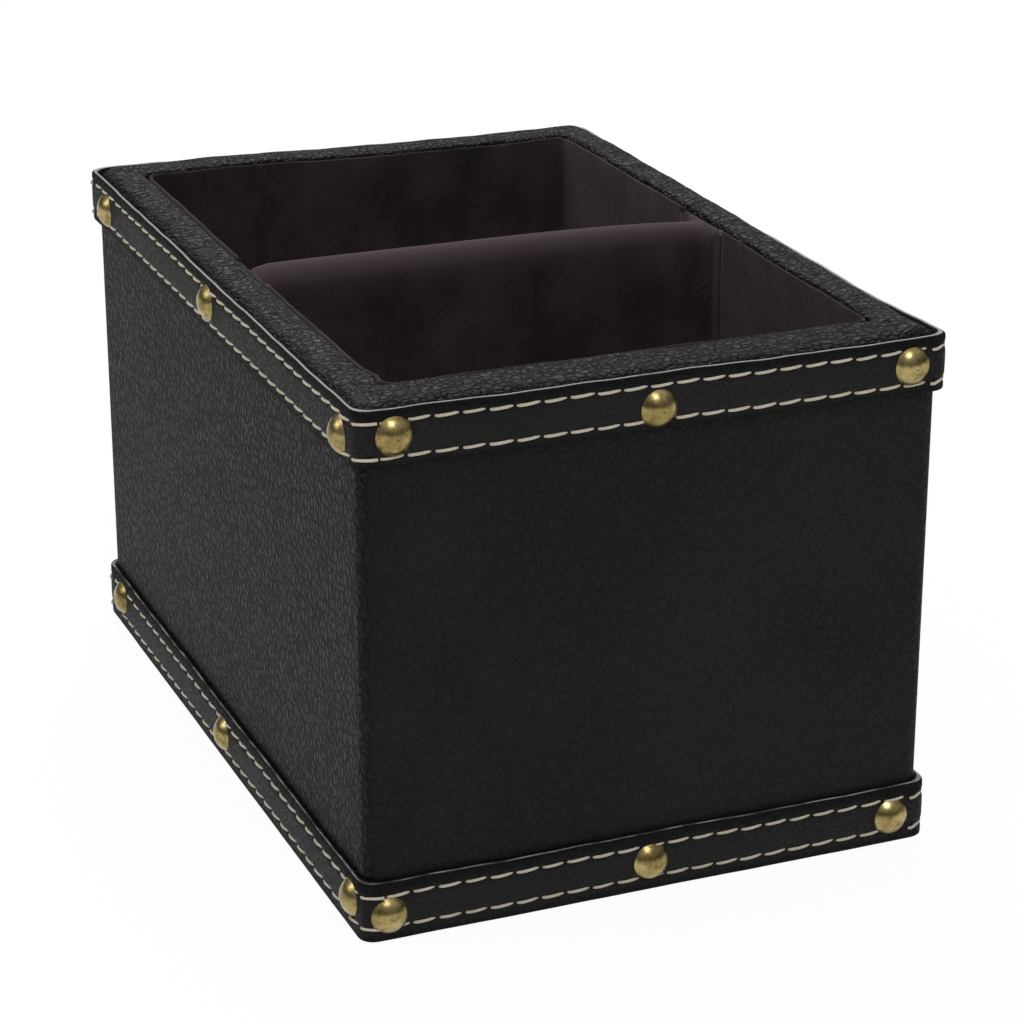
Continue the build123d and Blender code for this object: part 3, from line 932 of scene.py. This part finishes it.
def dividerSide(side):
    face, spine, out = coverPath(side)
    top = crestHeight(*spine.T)
    roll = np.minimum(velvet["crestHalf"], np.hypot(*(spine - face).T))
    rows = wallRows(face, out, liningBottom, top - roll, face[:, 0])
    for a in np.radians(90 * np.arange(1, velvet["rollRows"] + 1) / velvet["rollRows"]):
        plan = face + (spine - face) * (1 - math.cos(a))
        leftward = (0.5 - spine[:, 0] / velvetX / 2) * (roll > velvet["leanFrom"])
        plan[:, 1] += velvet["lean"] * leftward * math.sin(a)
        rows.append(np.column_stack([plan, top - roll + roll * math.sin(a)]))
    return gridMesh("dividerVelvet", rows, [finishes["dividerVelvet"]])


def joined(first, second):
    whole = bmesh.new()
    whole.from_mesh(first.data)
    whole.from_mesh(second.data)
    bmesh.ops.remove_doubles(whole, verts=whole.verts, dist=velvet["seamApart"])
    whole.to_mesh(first.data)
    whole.free()
    bpy.data.objects.remove(second)
    return first


def makeDividerCover():
    piece = thickened(joined(dividerSide(-1), dividerSide(1)), velvet["thick"])
    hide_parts("divider_cover")
    return piece


sewing = stitchTree()
made = [
    makeSkin(),
    makeStrap("top_band", "topStrap", finishes["topEdge"]),
    makeStrap("bottom_band", "bottomStrap", finishes["bottomEdge"]),
    makeStitching("top_band", "topStitching", sewing),
    makeStitching("bottom_band", "bottomStitching", sewing),
    makeLining(-1, "front_bay_lining", "frontVelvet"),
    makeLining(1, "rear_bay_lining", "rearVelvet"),
    makeDividerCover(),
]
for piece in made:
    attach(piece, "root")

slotFinish = {"board": "board", "leather_cloth": "skin", "strap_leather": "strap", "velvet": "velvet",
              "felt": "felt", "tack_metal": "tack"}
for part in frame["record"]["subparts"]:
    mesh = nodes[part["node"]].data
    mesh.materials.clear()
    mesh.materials.append(finishes[slotFinish[part["material_slot"]]])


# Studio: pale floor, soft lamps, even pale surroundings
studio = {
    "floorSize": 12.0,
    "floorTint": (0.9, 0.9, 0.9),
    "floorGlow": 0.95,        # share of the floor's own white in what the camera sees
    "horizon": 0.10,        # strength of the surroundings, low down and overhead, and how it grows
    "zenith": 0.85,
    "skyCurve": 1.4,
    "lamps": (        # place, what it faces, size, watts
        ((-1.5, 0.35, 1.15), (0, 0, 0.06), 0.8, 6.0),
        ((0.25, 1.3, 1.5), (0, 0, 0.1), 0.8, 17.0),
        ((-0.25, -1.2, 1.85), (0, 0, 0.06), 0.8, 14.0),
    ),
}


def makeStudio():
    mesh = bpy.data.meshes.new("floor")
    half = studio["floorSize"] / 2
    corners = [(-half, -half, 0), (half, -half, 0), (half, half, 0), (-half, half, 0)]
    mesh.from_pydata(corners, [], [(0, 1, 2, 3)])
    floor = bpy.data.objects.new("floor", mesh)
    bpy.context.scene.collection.objects.link(floor)
    f = Finish("paleFloor")
    rays = f.outputs("ShaderNodeLightPath")
    seen = rays["Is Camera Ray"] + rays["Is Glossy Ray"] + rays["Is Transmission Ray"]
    share = f.node("ShaderNodeMath", {"operation": "MULTIPLY", "use_clamp": True},
                   {0: seen, 1: studio["floorGlow"]})
    matt = f.node("ShaderNodeBsdfDiffuse", None, {"Color": (*studio["floorTint"], 1)})
    glow = f.node("ShaderNodeEmission", None, {"Color": (1, 1, 1, 1), "Strength": 1.0})
    f.close(f.node("ShaderNodeMixShader", None, {0: share, 1: matt, 2: glow}))
    mesh.materials.append(f.material)
    for number, (place, aim, size, watts) in enumerate(studio["lamps"]):
        lamp = bpy.data.lights.new(f"softbox{number}", "AREA")
        lamp.size, lamp.energy = size, watts
        holder = bpy.data.objects.new(f"softbox{number}", lamp)
        holder.location = place
        holder.rotation_euler = (Vector(aim) - Vector(place)).to_track_quat("-Z", "Y").to_euler()
        bpy.context.scene.collection.objects.link(holder)
    world = bpy.data.worlds.new("surroundings")
    world.use_nodes = True
    tree = world.node_tree
    background = tree.nodes["Background"]
    background.inputs["Color"].default_value = (1, 1, 1, 1)
    sky = tree.nodes.new("ShaderNodeTexCoord")
    split = tree.nodes.new("ShaderNodeSeparateXYZ")
    tree.links.new(sky.outputs["Generated"], split.inputs[0])
    height = Sock(tree, split.outputs[2])
    rise = height.maths("MAXIMUM", height, 0.0) ** studio["skyCurve"]
    strength = studio["horizon"] + rise * (studio["zenith"] - studio["horizon"])
    tree.links.new(strength.socket, background.inputs["Strength"])
    bpy.context.scene.world = world


view = {
    "azimuth": -22.33,        # degrees
    "elevation": 21.23,
    "roll": 0.03,
    "distance": 0.84685,
    "focal": 3165.4 / 1024,        # as a share of the picture's width
    "sensor": 36,
    "clip": (0.05, 50),
    "aim": (0.00783, 0, 0.058),
}


def makeCamera():
    azimuth, elevation, roll = (math.radians(view[k]) for k in ("azimuth", "elevation", "roll"))
    level = math.cos(elevation)
    back = Vector((math.sin(azimuth) * level, -math.cos(azimuth) * level, math.sin(elevation)))
    right = Vector((0, 0, 1)).cross(back).normalized()
    up = back.cross(right)
    right, up = right * math.cos(roll) + up * math.sin(roll), up * math.cos(roll) - right * math.sin(roll)
    lens = bpy.data.cameras.new("camera")
    lens.sensor_width = view["sensor"]
    lens.lens = view["focal"] * lens.sensor_width
    lens.clip_start, lens.clip_end = view["clip"]
    camera = bpy.data.objects.new("camera", lens)
    turn = Matrix((right, up, back)).transposed()
    camera.matrix_world = Matrix.Translation(Vector(view["aim"]) + back * view["distance"]) @ turn.to_4x4()
    bpy.context.scene.collection.objects.link(camera)
    bpy.context.scene.camera = camera


makeStudio()
makeCamera()
bpy.context.scene.view_settings.view_transform = "Standard"
print("stage: studio and camera set")
